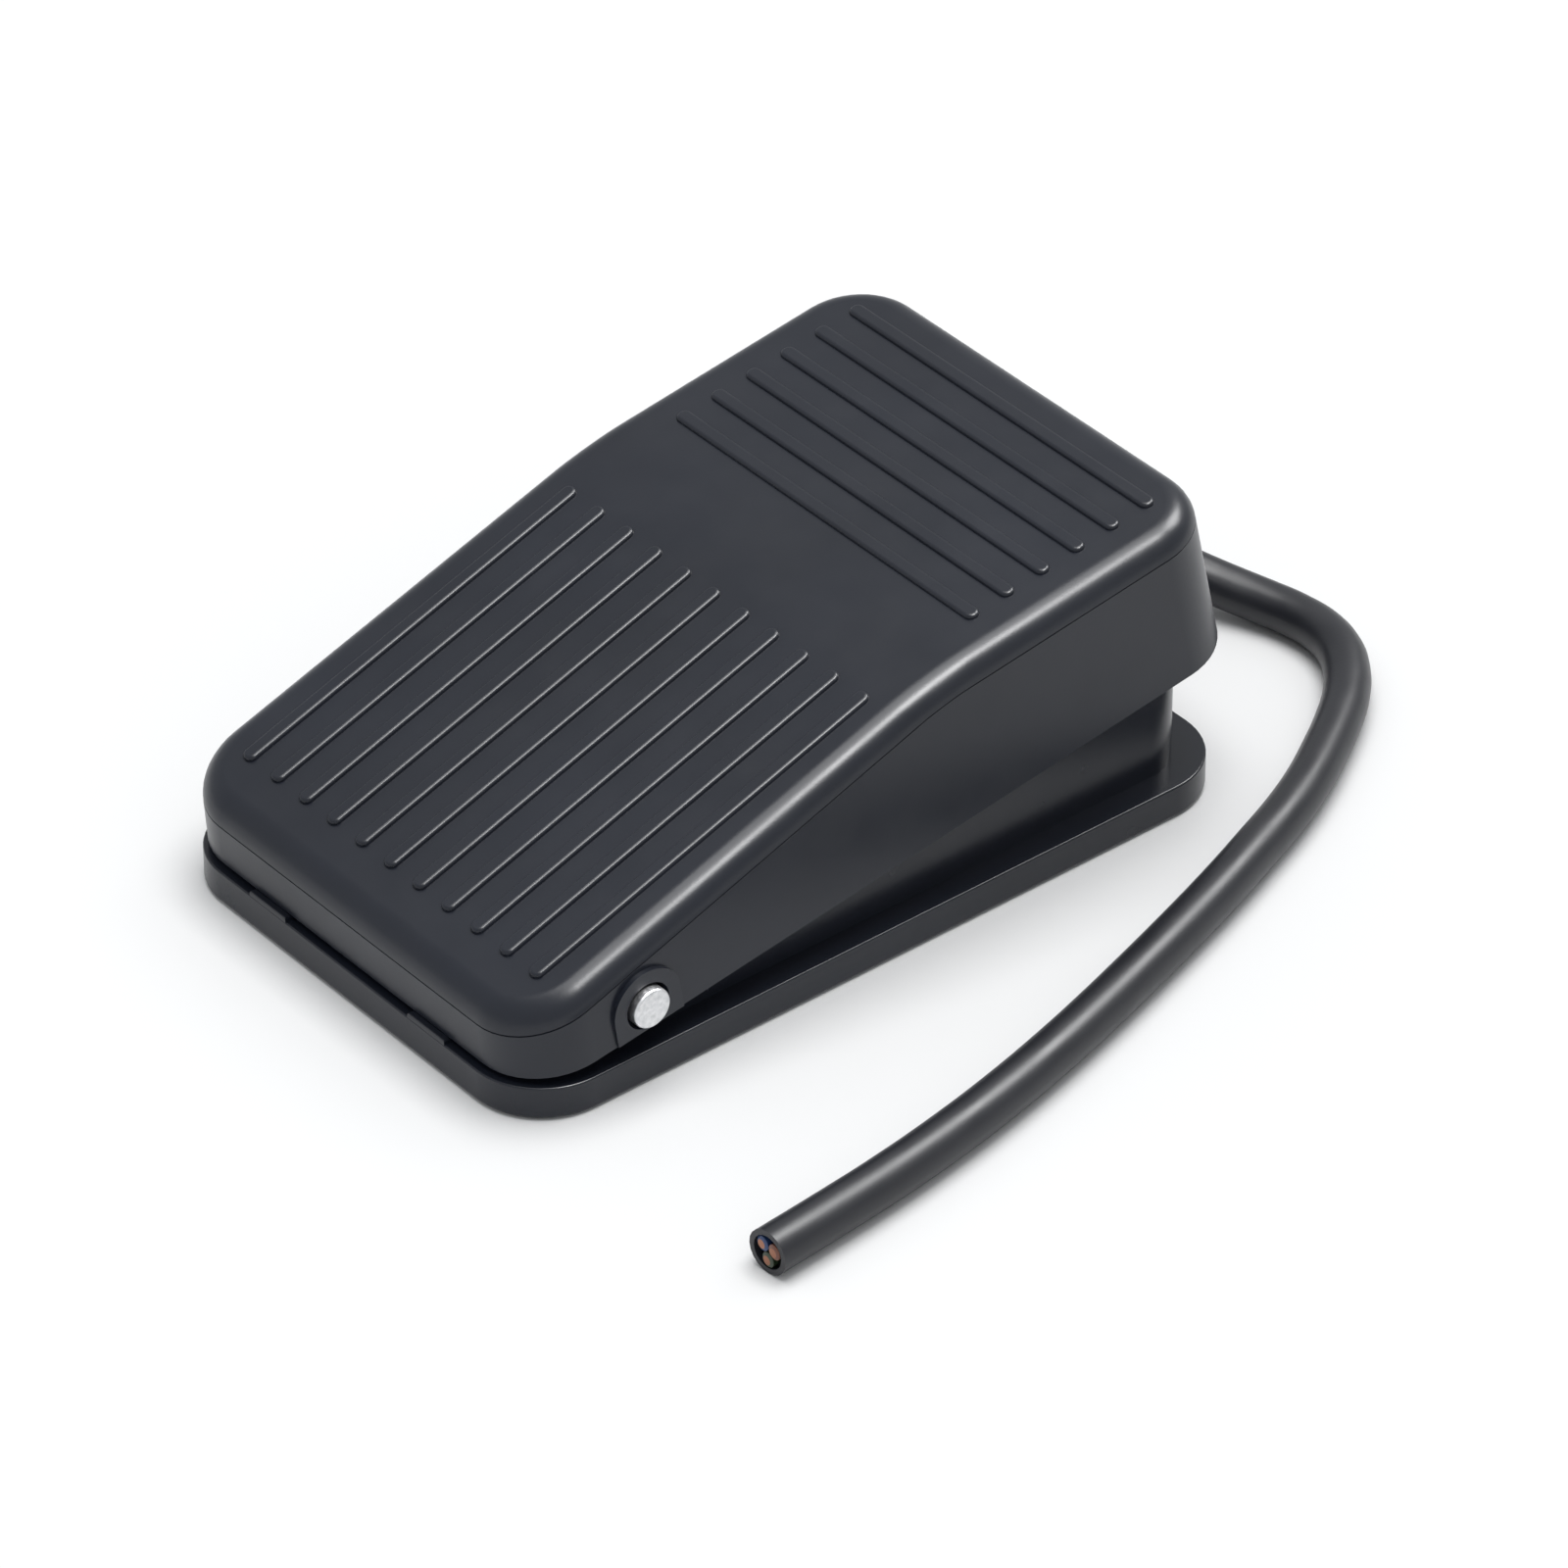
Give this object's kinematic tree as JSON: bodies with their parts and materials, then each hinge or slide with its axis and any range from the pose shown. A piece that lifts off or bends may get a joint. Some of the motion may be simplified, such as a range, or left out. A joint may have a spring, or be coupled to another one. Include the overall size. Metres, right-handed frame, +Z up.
{
  "type": "foot switch",
  "caption": "Low foot switch: a ribbed hinged treadle over a flat base tray, with a snap-action switch, return spring and a short three-core lead.",
  "frame": {"origin": "on the floor under the middle of the foot switch, halfway along it from the base's toe to the raised cover's heel, with the free lead left out", "axes": "+Y from the hinge end to the heel end, where the lead leaves; +Z up; +X towards the side where the free lead lies"},
  "size_m": [0.0996, 0.1273, 0.0389],
  "materials": {
    "base_plastic": "moulded satin-gloss charcoal",
    "cover_plastic": "moulded satin charcoal, fine spark grain",
    "foot_rubber": "matt moulded rubber",
    "boot_rubber": "matt moulded rubber",
    "pin_steel": "turned, bright zinc plated",
    "zinc_steel": "zinc plated",
    "spring_steel": "drawn spring wire",
    "natural_plastic": "natural acetal",
    "switch_plastic": "dark brown phenolic",
    "button_plastic": "red-brown moulded plastic",
    "terminal_brass": "stamped, tinned at the tips",
    "cord_pvc": "extruded soft jacket, slightly matt",
    "core_blue": "smooth core insulation",
    "core_brown": "smooth core insulation",
    "core_green": "smooth core insulation, green with a yellow stripe"
  },
  "bodies": {
    "base": {"base_housing": "base_plastic", "foot_front_left": "foot_rubber", "foot_front_right": "foot_rubber", "foot_rear_left": "foot_rubber", "foot_rear_right": "foot_rubber", "stop_buffer_left": "foot_rubber", "stop_buffer_right": "foot_rubber", "pivot_pin": "pin_steel", "pin_clip_left": "zinc_steel", "pin_clip_right": "zinc_steel", "spring_cup": "natural_plastic", "return_spring": "spring_steel", "switch_case": "switch_plastic", "switch_lid": "switch_plastic", "lever_pin": "zinc_steel", "terminal_common": "terminal_brass", "terminal_closed": "terminal_brass", "terminal_open": "terminal_brass", "switch_bracket": "zinc_steel", "switch_screw_front": "zinc_steel", "switch_screw_rear": "zinc_steel", "switch_nut_front": "zinc_steel", "switch_nut_rear": "zinc_steel", "bracket_screw_front": "zinc_steel", "bracket_screw_rear": "zinc_steel", "clamp_screw_left": "zinc_steel", "clamp_screw_right": "zinc_steel", "cable_clamp": "natural_plastic", "cable_boot": "boot_rubber", "cable_tail": "cord_pvc", "cord_jacket": "cord_pvc", "wire_blue": "core_blue", "wire_brown": "core_brown", "wire_green": "core_green", "core_blue": "core_blue", "core_brown": "core_brown", "core_green": "core_green"},
    "treadle": {"pedal_cover": "cover_plastic", "striker": "natural_plastic"},
    "lever": {"switch_lever": "zinc_steel"},
    "roller": {"lever_roller": "button_plastic"},
    "button": {"switch_button": "button_plastic"}
  },
  "joints": [
    {"name": "treadle_press", "type": "hinge", "parent": "base", "child": "treadle", "pos_m": [0, -0.03432, 0.01035], "axis": [-1, 0, 0], "range_deg": [0, 4.5], "stiffness_Nm_per_rad": 1.5, "springref_deg": -14.32, "deforming": ["return_spring"]},
    {"name": "lever_swing", "type": "hinge", "parent": "base", "child": "lever", "pos_m": [0, -0.01252, 0.0198], "axis": [-1, 0, 0], "range_deg": [0, 7.7]},
    {"name": "roller_spin", "type": "hinge", "parent": "lever", "child": "roller", "pos_m": [0, 0.01338, 0.02403], "axis": [1, 0, 0], "continuous": true},
    {"name": "button_travel", "type": "slide", "parent": "base", "child": "button", "axis": [0, 0, -1], "range_m": [0, 0.00095]}
  ],
  "couplings": [
    {"joint": "lever_swing", "follows": "treadle_press", "ratio": 1.7},
    {"joint": "button_travel", "follows": "treadle_press", "m_per_rad": 0.012}
  ]
}
